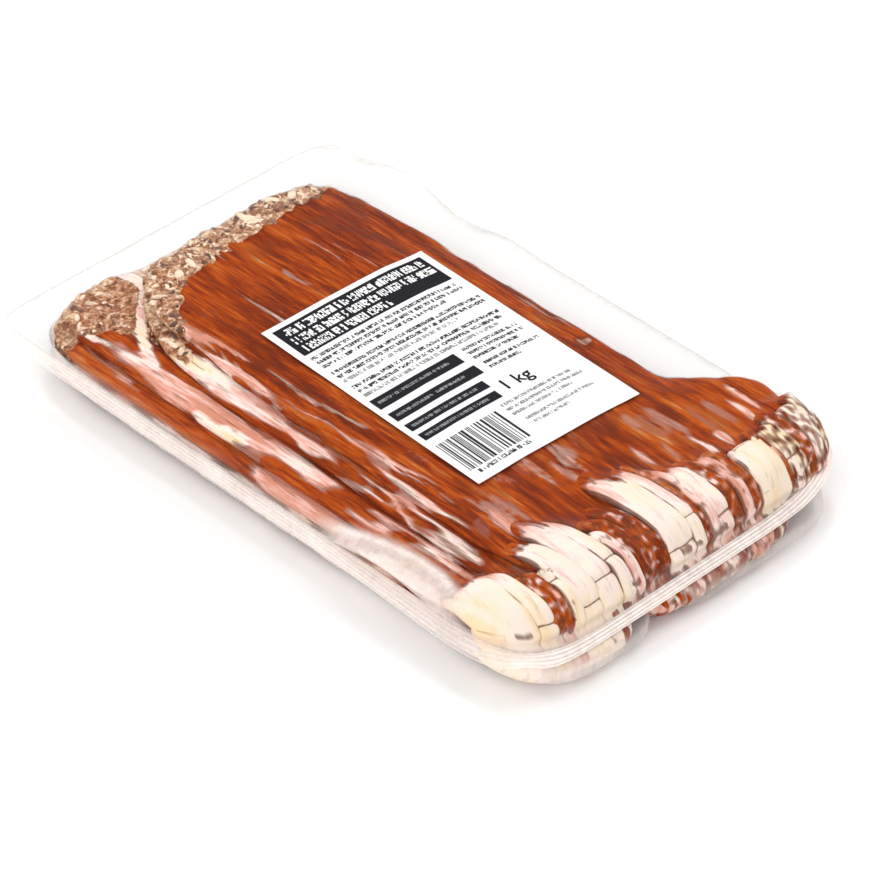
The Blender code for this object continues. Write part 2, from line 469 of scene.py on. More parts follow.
# %% Fat seams and smoked spots
# Each seam: x, y, half length, half width, fat, tint.
SEAMS = {
    7: ((81, 26, 9, 2, 0.58, 0.8), (78, -20, 10, 1.6, 0.56, 0.8), (92, 36, 16, 3, 0.52, 0.95),
        (33, 50, 3, 4, 0.5, 0.1), (60, -59, 34, 1.4, 0.66, 0.7), (-66, -2, 8, 2, 0.47, 0.4),
        (40, -52, 22, 1.4, 0.58, 0.6), (-60, -24, 26, 1.2, 0.5, 0.5), (-73, 17, 14, 0.9, 0.48, 0.6),
        (92, -48, 14, 3, 0.56, 0.9), (88, -12, 12, 2.2, 0.55, 0.95), (98, 46, 14, 3, 0.52, 0.9),
        (104, 24, 10, 2, 0.62, 0.9), (110, 34, 9, 2, 0.7, 0.8), (112, 44, 8, 2.5, 0.66, 0.7),
        (106, 60, 12, 2, 0.7, 0.6), (84, -45, 9, 5, 0.5, 0.75), (78, -6, 9, 5, 0.5, 0.7),
        (88, 30, 12, 6, 0.46, 0.85), (96, 14, 9, 1.6, 0.6, 0.9), (100, 66, 14, 1.6, 0.66, 0.7),
        (84, -6, 10, 1.6, 0.55, 0.9), (86, -40, 12, 2.0, 0.52, 0.9), (102, 54, 12, 2.5, 0.5, 0.8),
        (10, 53, 20, 1.1, 0.5, 0.5),
        (-86, -55, 16, 4.0, 0.95, 0.6), (-46, -57, 34, 2.6, 0.75, 0.75), (20, -55, 40, 1.2, 0.6, 0.7)),
    6: ((-36, -62.5, 38, 5.0, 0.9, 0.75), (-66, -62, 22, 4.0, 0.95, 0.45),
        (60, -63, 34, 1.4, 0.72, 0.7), (50, -67, 26, 1.2, 0.7, 0.7), (6, -64, 16, 2.6, 0.68, 0.6),
        (84, -66, 14, 3.0, 0.6, 0.6)),
    5: ((-46, -73, 46, 5.0, 1.0, 0.8), (-28, -75.5, 18, 4.0, 1.0, 0.3),
        (8, -71, 22, 4.6, 0.82, 0.75), (52, -76, 16, 2.4, 0.66, 0.7),
        (84, -72, 14, 2.4, 0.66, 0.6), (-104, -74, 12, 2.0, 0.8, 0.6)),
    4: ((20, -81, 28, 5.2, 0.95, 0.9), (78, -84, 20, 4.0, 1.0, 0.5)),
}
# Each smoked spot: x, y, half length, half width, darkness.
SPOTS = {
    7: ((-94, 53, 8, 6, 0.6), (-90, -2, 4, 10, 0.45), (76, 2, 10, 26, 0.45), (76, 23, 7, 7, 0.5),
        (16, 52, 9, 4, 0.5), (-61, 52, 4, 6, 0.42), (-88, 30, 5, 6, 0.45), (-10, -48, 30, 1.4, 0.45),
        (104, 30, 16, 3, 0.5), (100, 50, 18, 3, 0.5), (96, 20, 12, 2, 0.45),
        (-72, 26, 9, 3, 0.35), (-60, -4, 8, 2.0, 0.4), (70, -40, 12, 8, 0.45),
        (60, 48, 30, 4, 0.4)),
    6: ((20, -66, 24, 1.6, 0.5), (70, -66, 18, 1.6, 0.55), (-15, -60, 12, 1.4, 0.42)),
    5: ((36, -74, 22, 1.8, 0.5), (-92, -75, 12, 1.6, 0.5), (68, -75, 14, 2.5, 0.5)),
    4: ((-16, -79.5, 30, 1.0, 0.6), (50, -80, 14, 2.0, 0.5)),
}
SEAM_WANDER = 2.2
RIND_WIDTH = 15.0
SIDE_FAT = 0.72
THREAD_FAT = 0.56
THREAD_TINT = 0.82
STEP_FAT = 0.64
STEP_TINT = 0.55
# How dark the painted shade is in the gap where the next slice covers a step.
STEP_PAINTED_SHADE = 0.6


def oval(x, y, middle_x, middle_y, half_x, half_y):
    """Give 1 inside a soft oval and 0 outside."""
    reach = math.hypot((x - middle_x) / half_x, (y - middle_y) / half_y)
    return ease(1.45, 0.55, reach)


def step_line(x):
    """Give where the cut corner of the upper slices ends on layer 5, as y."""
    share = min(max((x + 112.0) / 68.0, 0.0), 1.0)
    return -72.0 + 36.0 * (1.0 - share) ** 2.2


def upper_rind_width(y):
    """Give how wide the rind of the upper slices is, a little wider towards the near side."""
    return RIND_WIDTH - 0.13 * (y + 10.0)


def marks_at(layer, x, y):
    """Give a layer's fat, tint and darkness at a place, from its strongest seam and spot."""
    wander = SEAM_WANDER * rough(x / 2.5, y, 11.0 * layer, 6.0)
    shown_x, shown_y = x + 3.0 * wander, y + wander
    fat, tint = 0.0, 0.8 if layer == 4 else 0.5
    for *seam, amount, seam_tint in SEAMS.get(layer, ()):
        share = amount * oval(shown_x, shown_y, *seam)
        if share > fat:
            fat, tint = share, seam_tint
    darks = [spot[4] * oval(shown_x, shown_y, *spot[:4]) for spot in SPOTS.get(layer, ())]
    return fat, tint, max(darks, default=0.0)


def mark_steps(x, y, fat, tint, dark):
    """Add the pale upper edge of each step of the top slice, and painted shade where the next covers
    it.
    """
    phase = step_phase(x, y)
    fade = ease(98.0, 80.0, x)
    broken = ease(-0.15, 0.45, rough(x / 6.0, y, 2.0, 5.0)) * fade
    broken *= 0.72 + 0.28 * ease(-20.0, -46.0, y)
    line = STEP_FAT * ease(0.03, 0.12, phase) * ease(0.30, 0.16, phase) * broken
    if line > fat:
        fat, tint = line, STEP_TINT
    # Painted shade in the gap where the next slice tucks under this one.
    return fat, tint, max(dark, STEP_PAINTED_SHADE * ease(0.86, 0.97, phase) * fade)


def crust_at(layer, x, y, from_rear):
    """Give how much rind covers a layer at a distance in from its rear end."""
    if layer > 5:
        width = upper_rind_width(y)
        return ease(width + 2.5, width - 2.5, from_rear) * ease(-67.0, -60.0, y)
    width = (2.2 - 0.8 * ease(-62.0, -78.0, y)) * RIND_WIDTH
    return ease(width + 3.0, width - 3.0, from_rear)


def paint_layer(piece, layer):
    """Store the fat, tint, dark and rind of one layer."""
    rows = []
    for x, y, z in points_of(piece):
        fat, tint, dark = marks_at(layer, x, y)
        if layer < 4:
            side = max(ease(-80.0, -84.0, y), ease(RIGHT_Y - 6.0, RIGHT_Y - 2.0, y))
            fat = max(fat, SIDE_FAT * side * (0.8 + 0.5 * rough(x / 5.0, z, layer, 3.0)))
        else:
            near = 1.0 if layer < 7 else ease(-38.0, -50.0, y)
            thread = THREAD_FAT * near * ease(0.10, 0.42, rough(x / 9.0, y, 3.0 * layer, 2.8))
            if thread > fat:
                fat, tint = thread, THREAD_TINT
        if layer == 7:
            fat, tint, dark = mark_steps(x, y, fat, tint, dark)
        step_highlight = 0.0
        # Painted highlight: a cream-white strip on layer 5 beside the cut corner of the upper slices,
        # where the film bridges the step, with no rind on it.
        if layer == 5:
            step_highlight = bump(step_line(x) - 3.5, 3.2, y) * ease(-58.0, -70.0, x)
            if step_highlight > fat:
                fat, tint = step_highlight, STEP_TINT
        from_rear = x - rear_edge(layer, y) + 5.0 * rough(x, y, 3.0, 5.0)
        crust = crust_at(layer, x, y, from_rear) * (1.0 - step_highlight)
        tint = max(tint * (1.0 - crust), crust * ease(7.0, 2.0, from_rear))
        rows.append((fat, tint, dark, crust))
    for name, values in zip(("fat", "tint", "dark", "rind"), zip(*rows)):
        paint(piece, name, values)


for number, layer in enumerate(layers):
    paint_layer(layer, number)
lower_slices = join("lower_slices", layers[:4])
middle_slices = join("middle_slices", layers[4:7])
top_slice = layers[7]
top_slice.name = "top_slice"
print("top slice:", len(top_slice.data.polygons), "faces")

# %% [markdown]
# ## The thick fat ends
#
# At the front the slices fold over the end of the stack. Each fold is a narrow band
# that starts on top, turns down over the shoulder, is pinched at the seal, and
# swells again below it. All bands follow one front profile, which shrinks towards
# both corners. Cream bands are fat and brown ones are lean. A dark line along every
# band's rims and across its folds is painted shade, where the bands meet and crease.

# %% Front profile
FRONT_CROWN = 17.4
FRONT_DRAW_IN = 2.6
LOBE_REACH = 7.2
LOBE_GAP = 10.0
LOBE_GAP_Y = -30.0
LOBE_TUCK = 8.0


def front_reach(y):
    """Give how far forward the bacon goes at y, less towards both corners."""
    middle = (LEFT_Y + RIGHT_Y + RIGHT_FLARE) / 2.0
    share = min(abs(y - middle) / (middle - LEFT_Y), 0.999)
    return FRONT_X - FRONT_DRAW_IN - (1.0 - (1.0 - share ** 7) ** (1.0 / 7.0)) * 78.0


def lobe_swell(y, reach, gap_half_width):
    """Give how far the bulges under the seal swell out at y, with the gap between them."""
    swell = reach * ease(60.0, 30.0, y) - LOBE_TUCK * ease(40.0, 64.0, y)
    return swell - LOBE_GAP * bump(LOBE_GAP_Y, gap_half_width, y)


def front_points(y, start):
    """List the profile's points at y, as x and z, from the top down to the underside."""
    ends = shoulder(y - LEFT_Y - 0.5, 24.0) * shoulder(RIGHT_Y + RIGHT_FLARE - 0.5 - y, 17.0)
    top = SEAL_HEIGHT + 0.5 + FRONT_CROWN * ends
    reach = front_reach(y)
    lobe = reach + lobe_swell(y, LOBE_REACH, 7.0) - 0.8
    low = 15.0 * (1.0 - ends)
    rest = reach - 16.0 - start
    return ((start, top - 2.4), (start + 0.34 * rest, top - 0.4), (start + 0.67 * rest, top),
            (reach - 16.0, top - 0.7), (reach - 6.5, top - 3.6 * ends),
            (reach - 1.4, 21.5 - 3.0 * (1.0 - ends)), (reach - 1.6, SEAL_HEIGHT),
            (lobe - 0.6, 10.0), (lobe - 1.6, 4.5 + 0.2 * low), (lobe - 7.0, 1.9 + 0.3 * low),
            (lobe - 16.0, 1.9 + 0.5 * low))


def along(points, share):
    """Read a smooth curve through the points, at a share from 0 to 1."""
    place = min(max(share, 0.0), 0.9999) * (len(points) - 1)
    i = int(place)
    t = place - i
    a, b, c, d = (points[min(max(k, 0), len(points) - 1)] for k in (i - 1, i, i + 1, i + 2))
    return [0.5 * (2 * b[k] + (c[k] - a[k]) * t + (2 * a[k] - 5 * b[k] + 4 * c[k] - d[k]) * t * t
                   + (3 * b[k] - a[k] - 3 * c[k] + d[k]) * t ** 3) for k in (0, 1)]


print("front reach at the middle", round(front_reach(0.0), 1), "mm")

# %% Bands of fat and lean
BAND_THICKNESS = 3.8
BAND_CROWN = 0.5
BAND_CELLS_ALONG = 70
CREASE_DEPTH = 1.3
START_SINK = 3.0
# Width of the painted shade along each band's rims.
SHADE_LINE_WIDTH = 0.65
# Each band: y at the front, half width, where it starts, how far aside it starts, fat, tint,
# and where a fold crosses it, as a share of the profile (0: nowhere).
BANDS = ((-79.0, 6.3, 96, -1.0, 1.0, 0.28, 0.0), (-70.0, 3.2, 100, -4.0, 1.0, 0.35, 0.47),
         (-63.6, 4.6, 112, -4.0, 0.34, 0.4, 0.0), (-57.6, 2.2, 118, -4.0, 0.8, 0.2, 0.33),
         (-51.6, 5.2, 95, -3.0, 1.0, 0.3, 0.47), (-41.6, 4.7, 84, -5.0, 1.0, 0.4, 0.41),
         (-34.0, 2.9, 92, -6.0, 0.95, 0.4, 0.36), (-28.6, 2.2, 112, -5.0, 0.7, 0.55, 0.0),
         (-22.6, 3.6, 104, -6.0, 0.36, 0.4, 0.0), (-15.4, 4.0, 100, -6.0, 0.30, 0.4, 0.0),
         (-5.2, 6.6, 82, -4.0, 1.0, 0.4, 0.47), (3.4, 2.4, 88, -3.0, 0.95, 0.45, 0.39),
         (7.8, 1.6, 90, -3.0, 0.42, 0.5, 0.0), (11.4, 2.0, 98, -3.0, 0.75, 0.6, 0.0),
         (16.8, 3.6, 104, -3.0, 0.95, 0.6, 0.45), (23.2, 3.2, 104, -3.0, 0.36, 0.3, 0.0),
         (28.6, 2.2, 108, -3.0, 0.62, 0.7, 0.0), (33.4, 3.0, 108, -3.0, 0.36, 0.5, 0.0),
         (43.2, 7.4, 118, -2.0, 1.0, 0.2, 0.0), (51.6, 2.4, 110, -3.0, 0.38, 0.6, 0.0),
         (57.0, 4.4, 114, -3.0, 0.58, 0.35, 0.42), (64.2, 3.6, 106, -4.0, 0.40, 0.4, 0.0),
         (71.0, 4.4, 112, -3.0, 0.56, 0.35, 0.0), (78.0, 4.2, 104, -2.0, 0.52, 0.3, 0.36))


def low_fat(y):
    """Give how fatty the bulges under the seal are: the near one is white, the other brown."""
    strips = 0.5 + 0.5 * math.sin(0.7 * y + 1.5 * math.sin(0.31 * y))
    if y < LOBE_GAP_Y:
        return 1.0 - ease(-52.0, -46.0, y) * strips
    return 0.36 + 0.24 * strips


def make_band(number, y, half_width, start, aside, fat, tint, fold):
    """Make one band over the front."""
    lift = 0.5 * rough(number * 3.7, 0.0, 1.0, 1.0) + (0.4 if fat > 0.5 else -0.6)

    def place(u, v):
        share = (u + 1.0) / 2.0
        width = half_width * (0.70 + 0.30 * ease(0.0, 0.25, share))
        width *= 1.0 + 0.16 * rough(share * 9.0, number, 0.0, 2.0)
        middle = y + aside * max(0.5 - share, 0.0) / 0.5
        middle += 0.7 * rough(share * 6.0, number * 5.0, 0.0, 2.0)
        side = max(middle + v * width, LEFT_Y + 0.8)
        points = front_points(side, start + 3.0 * v * v)
        x, z = along(points, share)
        ahead = along(points, share + 0.012)
        length = math.hypot(ahead[0] - x, ahead[1] - z) or 1.0
        out_x, out_z = -(ahead[1] - z) / length, (ahead[0] - x) / length
        crease = CREASE_DEPTH * bump(fold, 0.014, share) if fold else 0.0
        sink = START_SINK * ease(0.20, 0.0, share)
        out = lift * ease(0.05, 0.25, share) + BAND_CROWN * (0.6 - v ** 4)
        out += 0.6 * rough(x / 3.0, side, z / 3.0, 5.0)
        out -= BAND_THICKNESS / 2.0 + crease + sink
        return x + out_x * out, side, z + out_z * out

    band = add_sheet("band", BAND_CELLS_ALONG, max(round(half_width * 1.5), 5), place)
    thicken(band, BAND_THICKNESS)
    paint_band(band, half_width, fat, tint, fold)
    return band


def paint_band(band, half_width, fat, tint, fold):
    """Store a band's fat, tint, dark marks and rind; the lines at rims and folds are painted shade."""
    places = grid_places(band)
    points = points_of(band)

    def relief(shrink, size):
        return np.array([rough(x / shrink, y, z / shrink, size) for x, y, z in points])

    shares = (places[:, 0] + 1.0) / 2.0
    grain, soft, mottle = relief(3.0, 3.0), relief(4.0, 7.0), relief(1.6, 2.0)
    from_rim = (1.0 - np.abs(places[:, 1])) * half_width
    inside = np.array([ease(-87.0, -83.0, y) for y in points[:, 1]])
    low = np.array([ease(0.56, 0.63, share) for share in shares])
    below = np.array([low_fat(y) for y in points[:, 1]])
    # Painted shade: a dark line along both rims, where the band meets the next, and across its fold.
    line = np.clip(1.5 - from_rim / SHADE_LINE_WIDTH + 1.2 * soft, 0.0, 1.0) * inside
    line *= np.clip(shares / 0.12, 0.3, 1.0) * np.clip(1.0 + 1.8 * grain, 0.35, 1.0)
    if fold:
        line = np.maximum(line, np.exp(-((shares - fold - 0.02 * soft) / 0.008) ** 2))
    upper = fat * np.clip((shares - 0.03 + 0.10 * soft) / 0.14, 0.0, 1.0)
    ragged_front = 0.8 * np.exp(-((shares - 0.49 - 0.03 * soft) / 0.03) ** 2) * (soft > 0.05)
    speckle = 0.8 * np.clip(3.0 * mottle, 0.0, 1.0) * (fat < 0.5)
    dark = np.maximum(np.maximum(line, ragged_front), speckle)
    pink = tint + (0.35 if fat < 0.5 else 0.0) + 0.4 * soft + 0.15 * low
    pink += 0.5 * np.clip((0.20 - shares) * 6.0, 0.0, 1.0)
    mottling = (0.6 if fat < 0.5 else 0.25) * mottle
    paint(band, "fat", upper * (1.0 - low) + below * low - mottling)
    paint(band, "tint", pink)
    paint(band, "dark", dark * (1.0 - 0.65 * low))
    paint(band, "rind", 0.36 * (fat < 0.5) * (1.0 - low))


bands = [make_band(number, *sizes) for number, sizes in enumerate(BANDS)]
slice_ends = join("slice_ends", bands)
print(len(bands), "bands,", len(slice_ends.data.polygons), "faces")

# %% [markdown]
# ## Crumbs of rind
#
# The rear ends of the slices are rough: crumbs of rind, fat and spice stick to
# them. One small lump is made from a sphere, and many copies of it are dented,
# squashed, turned and dropped onto the slices. Each copy carries a random number
# of its own, from which the material picks cream, tan or brown.

# %% Rind crumbs
CRUMBS = 1300
CRUMB_SEED = 11
CRUMB_SIZES = (0.45, 1.5)
LUMP_SHARE = 0.015
LUMP_EXTRA = 1.2
CRUMB_LENGTHS = (0.9, 2.4)
CRUMB_WIDTHS = (0.7, 1.1)
CRUMB_FLATNESS = 0.6
CRUMB_TIP = 0.5
CRUMB_SHADE = 0.52
CRUMB_SHADE_SPREAD = 0.09
LUMP_SHADE = 0.75
NEAR_CRUST = 32.0
NEAR_CRUST_TAPER = 11.0
LOWEST_CRUMB = 20.0
RAY_START = 60.0
DOWN = Vector((0.0, 0.0, -1.0))


def trees_of(*pieces):
    """Make a tree for each piece, which finds where rays hit it."""
    graph = bpy.context.evaluated_depsgraph_get()
    return [BVHTree.FromObject(piece, graph) for piece in pieces]


def first_below(trees, x, y):
    """Return the highest point of the pieces at x and y, or None."""
    hits = [tree.ray_cast(Vector((x, y, RAY_START)) * MM, DOWN)[0] for tree in trees]
    heights = [hit.z / MM for hit in hits if hit is not None]
    return max(heights) if heights else None


def make_crumbs():
    """Scatter the crumbs over the rear ends of the slices."""
    draw = random.Random(CRUMB_SEED)
    trees = trees_of(top_slice, middle_slices)
    bpy.ops.object.select_all(action="DESELECT")
    bpy.ops.mesh.primitive_ico_sphere_add(subdivisions=2, radius=1.0)
    crumbs = bpy.context.object
    crumbs.name = "rind_crumbs"
    shape = np.array([point.co[:] for point in crumbs.data.vertices])
    faces = np.array([face.vertices[:] for face in crumbs.data.polygons])
    corners, walls, colours = [], [], []
    while len(corners) < CRUMBS:
        y = draw.uniform(LEFT_Y + 3.0, RIGHT_Y - 3.0)
        near = y < -60.0 or (y < -34.0 and draw.random() < 0.35)
        width = upper_rind_width(y)
        if near:
            width = NEAR_CRUST - NEAR_CRUST_TAPER * ease(-62.0, -78.0, y)
        x = rear_edge(5 if near else 7, y) + width * draw.random() + draw.gauss(-1.0, 1.5)
        z = first_below(trees, x, y)
        # No near crumbs on or past the strip beside the step, which carries a painted highlight.
        step_highlight = near and y > step_line(x) - 8.0
        if z is None or z < LOWEST_CRUMB or step_highlight or (near and draw.random() < 0.4):
            continue
        size = CRUMB_SIZES[0] + (CRUMB_SIZES[1] - CRUMB_SIZES[0]) * draw.random() ** 2.4
        size += LUMP_EXTRA if draw.random() < LUMP_SHARE else 0.0
        turn = Matrix.Rotation(draw.uniform(0.0, 6.3), 3, "Z")
        turn = np.array(turn @ Matrix.Rotation(draw.uniform(-CRUMB_TIP, CRUMB_TIP), 3, "X"))
        stretch = size * np.array([draw.uniform(*CRUMB_LENGTHS), draw.uniform(*CRUMB_WIDTHS),
                                   CRUMB_FLATNESS])
        lumps = np.array([rough(*(corner * 1.3), 1.0 + draw.random()) for corner in shape])
        crumb = shape * (1.0 + 0.3 * lumps[:, None]) * stretch
        walls.append(faces + len(corners) * len(shape))
        corners.append(crumb @ turn.T + (x, y, z - 0.15 * size))
        shade = draw.gauss(CRUMB_SHADE, CRUMB_SHADE_SPREAD) if size <= 1.7 else LUMP_SHADE
        colours.append(np.full(len(shape), shade))
    crumbs.data.clear_geometry()
    points = np.concatenate(corners) * MM
    crumbs.data.from_pydata(points.tolist(), [], np.concatenate(walls).tolist())
    crumbs.data.shade_smooth()
    paint(crumbs, "crumb", np.concatenate(colours))
    return crumbs


crumbs = make_crumbs()
print(CRUMBS, "crumbs,", len(crumbs.data.polygons), "faces")

# %% [markdown]
# ## The film's web and seal
#
# Round the bacon both films lie flat on each other. This web is wide at the rear
# and at the straight side, where it also buckles a little, and it sags at the near
# front corner. Its outer rim is the weld: the sealing bar leaves fine ribs there.
# The weld is a long strip that is laid round the outline, so its two ends are
# merged before it gets its thickness.

# %% Web height and the welded rim
CORNER_REAR = 24.0
CORNER_FRONT = 10.0
CORNER_FAR = 5.5
FRONT_PULL = 4.5
SEAL_WIDTH = 6.5
SEAL_RIBS = 4
RIB_HEIGHT = 0.16
DROOP = 4.0
FRONT_DROOP = 3.0
WEB_WAVE = 3.5
HUMP = 5.0
FILM_THICKNESS = 0.16
FILM_INSET = SEAL_WIDTH - 0.2
SEAL_CELLS = (480, 24)


def web_height(x, y):
    """Give the height of the flat film at x and y."""
    droop = DROOP * ease(40.0, 130.0, x) * ease(-84.0, -94.0, y)
    wave = WEB_WAVE * math.sin((x + 83.5) / 10.5) * ease(-10.0, -80.0, x) * ease(60.0, 94.0, y)
    pleats = 0.35 * rough(x, y / 5.0, 4.0, 4.5) * ease(64.0, 80.0, y)
    pleats += 0.35 * rough(x / 5.0, y, 8.0, 4.5) * ease(-128.0, -140.0, x)
    return SEAL_HEIGHT - droop - wave + pleats - FRONT_DROOP * ease(138.0, 146.0, x)


def film_place(u, v, inset):
    """Place a point of the film's outline, drawn in by inset, less so at the front."""
    front = CORNER_FAR if v > 0.0 else CORNER_FRONT
    p, q = rounded(u, v, front if u > 0.0 else CORNER_REAR)
    pull = ease(0.6, 1.0, p) * (FRONT_PULL - 0.3 * inset)
    return p * (HALF_LENGTH - inset) - pull, q * (HALF_WIDTH - inset)


def border(share):
    """Walk once round the square -1 to 1, as share goes from 0 to 1."""
    side = share * 4.0
    step = 2.0 * (side % 1.0) - 1.0
    return ((step, -1.0), (1.0, step), (-step, 1.0), (-1.0, -step))[int(side) % 4]


def rib(v):
    """Give the height of the weld's ribs across it, from -1 to 1."""
    return math.cos(2.0 * math.pi * SEAL_RIBS * (v + 1.0) / 2.0)


def make_seal():
    """Make the welded rim of the film."""
    def place(u, v):
        x, y = film_place(*border((u + 1.0) / 2.0), SEAL_WIDTH * (1.0 - v) / 2.0)
        return x, y, web_height(x, y) + RIB_HEIGHT * rib(v)

    seal = add_sheet("film_seal", *SEAL_CELLS, place)
    bpy.ops.object.mode_set(mode="EDIT")
    bpy.ops.mesh.select_all(action="SELECT")
    bpy.ops.mesh.remove_doubles(threshold=0.01 * MM)
    bpy.ops.mesh.normals_make_consistent(inside=False)
    bpy.ops.object.mode_set(mode="OBJECT")
    give_wall(seal, 2.0 * FILM_THICKNESS, 0.0)
    bpy.ops.object.shade_smooth()
    return seal


film_seal = make_seal()
print("seal:", len(film_seal.data.polygons), "faces")

# %% [markdown]
# ## The upper film
#
# Vacuum film behaves like a stretched skin over what it covers: it touches the
# high spots and bridges the hollows between them. That can be worked out on a
# grid. Rays cast down find how high the bacon stands below each point, and then
# every point moves to the average of its neighbours again and again, but never
# below the bacon. Where both films touch, the skin is held at the web's height.

# %% Upper film as a skin over the bacon
FILM_CELLS = (220, 138)
FILM_GAP = 0.30
SKIN_ROUNDS = 45
SKIN_REACH = 2.2
NOTHING_BELOW = -99.0


def relax(heights, floor_heights, held, rounds):
    """Pull a grid of heights tight over floor_heights, leaving held points where they are."""
    skin = np.maximum(heights, floor_heights)
    for _ in range(rounds):
        wide = np.pad(skin, 1, mode="edge")
        mean = (wide[1:-1, :-2] + wide[1:-1, 2:] + wide[:-2, 1:-1] + wide[2:, 1:-1]) / 4.0
        skin = np.where(held, skin, np.maximum(mean, floor_heights))
    return skin


def outside_body(x, y):
    """Give how far a place is outside the bacon's outline, with square corners."""
    rear = REAR_X - rear_step(y)
    return max(rear - x, x - FRONT_X + 1.0, LEFT_Y - 1.0 - y, y - right_edge(x) - 0.5)


def make_upper_film():
    """Make the upper film: flat at first, then pulled tight over the bacon and the hump."""
    trees = trees_of(top_slice, middle_slices, lower_slices, slice_ends, crumbs)
    film = add_sheet("film_top", *FILM_CELLS, lambda u, v: (*film_place(u, v, FILM_INSET), 0.0))
    points = points_of(film)
    web = np.array([web_height(x, y) for x, y, z in points])
    found = [first_below(trees, x, y) for x, y, z in points]
    hump = np.array([HUMP * bump(68.0, 22.0, x) * bump(-86.0, 4.5, y) for x, y, z in points])
    solid = np.array([NOTHING_BELOW if top is None else top + FILM_GAP for top in found])
    solid = np.where(hump > 0.5, np.maximum(solid, SEAL_HEIGHT + hump), solid)
    away = np.array([outside_body(x, y) for x, y, z in points])
    shape = (FILM_CELLS[1] + 1, FILM_CELLS[0] + 1)
    held = ((away > SKIN_REACH) & (solid < web)).reshape(shape)
    held[0, :] = held[-1, :] = held[:, 0] = held[:, -1] = True
    skin = relax(web.reshape(shape), solid.reshape(shape), held, SKIN_ROUNDS)
    points[:, 2] = skin.ravel() + 0.5 * FILM_THICKNESS
    place_points(film, points)
    give_wall(film, FILM_THICKNESS)
    bpy.ops.object.shade_smooth()
    return film


film_top = make_upper_film()
print("upper film:", len(film_top.data.polygons), "faces, top at",
      round(points_of(film_top)[:, 2].max(), 1), "mm")

# %% [markdown]
# ## The drawn pocket
#
# The lower film was drawn into a mould, so it has a flat floor, round edges and
# nearly upright walls, and at the front it swells into two lobes with a dent
# between them. A grid is wrapped round that form: its middle is the floor, the next
# rings climb the wall, and the last ones run out under the web.

# %% Lower film
POCKET_CELLS = (150, 100)
FLOOR_SHARE = 0.66
WALL_SHARE = 0.93
FLOOR_Z = 0.1
POCKET_ROUND = 9.0
ROUND_SHARE = 0.4
ROUND_RISE = 0.72 * POCKET_ROUND
LOBE_SWELL = 8.0


def pocket_ring(u, v, height, inset):
    """Place a point of the bacon's outline at a height, drawn in by inset."""
    p, q = rounded(u, v, SQUARENESS)
    p *= 1.0 - 2.0 * inset / (FRONT_X - REAR_X)
    q *= 1.0 - 2.0 * inset / (RIGHT_Y - LEFT_Y)
    y = blend(LEFT_Y, RIGHT_Y, q)
    below_seal = ease(SEAL_HEIGHT, 9.0, height)
    swell = lobe_swell(y, LOBE_SWELL, 7.5) * below_seal
    x = blend(REAR_X - rear_step(y), FRONT_X - 2.0 + swell, p)
    tight = 4.0 * below_seal * ease(40.0, 70.0, y) * ease(100.0, 135.0, x)
    return x - tight, blend(LEFT_Y, right_edge(x), q) - tight


def pocket_place(u, v):
    """Place a point of the lower film."""
    reach = max(abs(u), abs(v))
    if reach < FLOOR_SHARE:
        return (*pocket_ring(u / FLOOR_SHARE, v / FLOOR_SHARE, 0.0, POCKET_ROUND), FLOOR_Z)
    side_u, side_v = u / reach, v / reach
    if reach < WALL_SHARE:
        climb = (reach - FLOOR_SHARE) / (WALL_SHARE - FLOOR_SHARE)
        turn = min(climb / ROUND_SHARE, 1.0) * math.pi / 2.0
        upright = max(climb - ROUND_SHARE, 0.0) / (1.0 - ROUND_SHARE)
        rise = ROUND_RISE * (1.0 - math.cos(turn)) + upright * (SEAL_HEIGHT - ROUND_RISE)
        x, y = pocket_ring(side_u, side_v, rise, POCKET_ROUND * (1.0 - math.sin(turn)))
        dent = 0.5 * rough(x, y, rise * 1.5, 11.0) * ease(0.0, 0.3, climb) * ease(1.0, 0.8, climb)
        return x + dent * side_u, y + dent * side_v, min(rise + FLOOR_Z, SEAL_HEIGHT - 0.3)
    out = (reach - WALL_SHARE) / (1.0 - WALL_SHARE)
    foot_x, foot_y = pocket_ring(side_u, side_v, SEAL_HEIGHT, 0.0)
    edge_x, edge_y = film_place(side_u, side_v, FILM_INSET)
    x, y = foot_x + (edge_x - foot_x) * out, foot_y + (edge_y - foot_y) * out
    return x, y, web_height(x, y) - 0.3


def make_pocket():
    """Make the lower film."""
    film = add_sheet("film_pocket", *POCKET_CELLS, pocket_place)
    give_wall(film, FILM_THICKNESS)
    bpy.ops.object.shade_smooth()
    return film


film_pocket = make_pocket()
print("lower film:", len(film_pocket.data.polygons), "faces")

# %% [markdown]
# ## How milky the film is
#
# The film is clear where it lies tight on the meat and turns milky where it was
# stretched down the walls, at the weld and in its folds. That milkiness is stored
# on the points. It depends on height and on how steep the film is.

# %% Milkiness of the three film pieces
CLEAR_HAZE = 0.002
WEB_HAZE = 0.016
WALL_HAZE = 0.62
WELD_HAZE = 0.14
FRONT_WELD_HAZE = 0.80


def wall_haze(x, y, z):
    """Give the upright film's haze: milkier at the near side, and at the near corner as painted light.
    """
    # The walls are milky film; the extra milkiness at the near front corner is painted light that
    # lifts the shade under the flange.
    near = max(ease(-70.0, -82.0, y), ease(90.0, 120.0, x) * ease(-44.0, -52.0, y))
    return WALL_HAZE * (0.35 + 0.65 * near) * ease(21.0, 14.0, z)


def hump_haze(x, y):
    """Give the haze of the web where it bulges up over the near edge."""
    reach = -83.5 + 6.5 * ease(32.0, 78.0, x) * ease(106.0, 88.0, x)
    fold = 0.40 * ease(reach + 1.2, reach - 1.2, y) + 0.30 * bump(reach, 1.5, y)
    return fold * ease(26.0, 50.0, x) * ease(110.0, 96.0, x)


